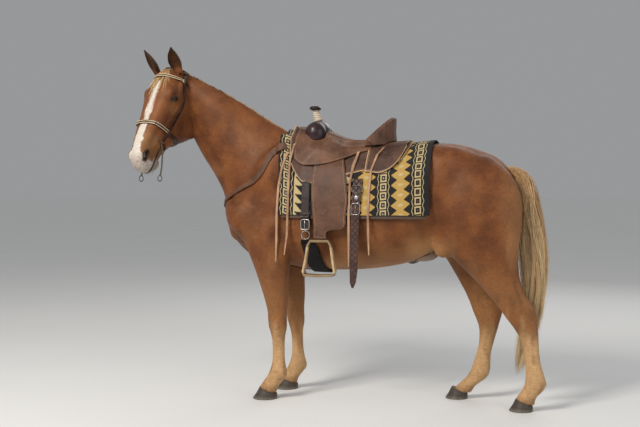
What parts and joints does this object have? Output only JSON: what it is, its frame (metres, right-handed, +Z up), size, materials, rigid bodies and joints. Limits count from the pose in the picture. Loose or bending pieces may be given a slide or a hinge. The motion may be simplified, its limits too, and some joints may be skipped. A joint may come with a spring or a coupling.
{
  "type": "missouri fox trotter horse",
  "caption": "Life-size standing horse, a chestnut gelding with a flaxen tail and a blaze, wearing a western saddle, patterned blanket, breast collar and bridle.",
  "frame": {"origin": "middle of the bounding box, on the ground under the hooves", "axes": "the horse faces -X, its left side is on -Y, +Z is up"},
  "size_m": [2.3712, 0.7648, 2.0499],
  "materials": {
    "chestnut_coat": "short glossy coat",
    "flaxen_hair": "long hair",
    "hoof_horn": "satin",
    "eye": "gloss",
    "felt": "matt felt",
    "woven_blanket": "woven wool, patterned in gold and cream",
    "saddle_leather": "satin",
    "swell_leather": "polished",
    "dark_leather": "satin",
    "horn_wrap_leather": "matt",
    "string_leather": "matt",
    "stirrup_rawhide": "satin",
    "cinch_web": "woven",
    "steel": "polished",
    "bridle_leather": "satin, with cream stitching"
  },
  "bodies": {
    "root": {"billet_left": "dark_leather", "billet_right": "dark_leather", "bit_left": "steel", "bit_right": "steel", "blanket": "woven_blanket", "breast_ring": "steel", "breast_strap_left": "saddle_leather", "breast_strap_right": "saddle_leather", "breast_tie_down": "saddle_leather", "browband": "bridle_leather", "cheekpiece_left": "bridle_leather", "cheekpiece_right": "bridle_leather", "cinch": "cinch_web", "cinch_ring_left": "steel", "cinch_ring_right": "steel", "crown_strap": "bridle_leather", "curb_strap": "bridle_leather", "ear_left": "chestnut_coat", "ear_right": "chestnut_coat", "eye_left": "eye", "eye_right": "eye", "felt_liner": "felt", "fender_left": "saddle_leather", "fender_right": "saddle_leather", "foreleg_left": "chestnut_coat", "foreleg_right": "chestnut_coat", "head": "chestnut_coat", "hindleg_left": "chestnut_coat", "hindleg_right": "chestnut_coat", "hoof_fore_left": "hoof_horn", "hoof_fore_right": "hoof_horn", "hoof_hind_left": "hoof_horn", "hoof_hind_right": "hoof_horn", "horn_wrap": "horn_wrap_leather", "latigo_left": "dark_leather", "latigo_right": "dark_leather", "neck": "chestnut_coat", "noseband": "bridle_leather", "rear_jockey": "saddle_leather", "saddle_cantle": "saddle_leather", "saddle_horn": "dark_leather", "saddle_seat": "saddle_leather", "saddle_skirt_left": "saddle_leather", "saddle_skirt_right": "saddle_leather", "saddle_swell": "swell_leather", "sheath": "chestnut_coat", "stirrup_left": "stirrup_rawhide", "stirrup_right": "stirrup_rawhide", "string_front_a_left": "string_leather", "string_front_a_right": "string_leather", "string_front_b_left": "string_leather", "string_front_b_right": "string_leather", "string_middle_left": "string_leather", "string_middle_right": "string_leather", "string_rear_left": "string_leather", "string_rear_right": "string_leather", "tail": "flaxen_hair", "throatlatch": "bridle_leather", "torso": "chestnut_coat"}
  },
  "joints": []
}
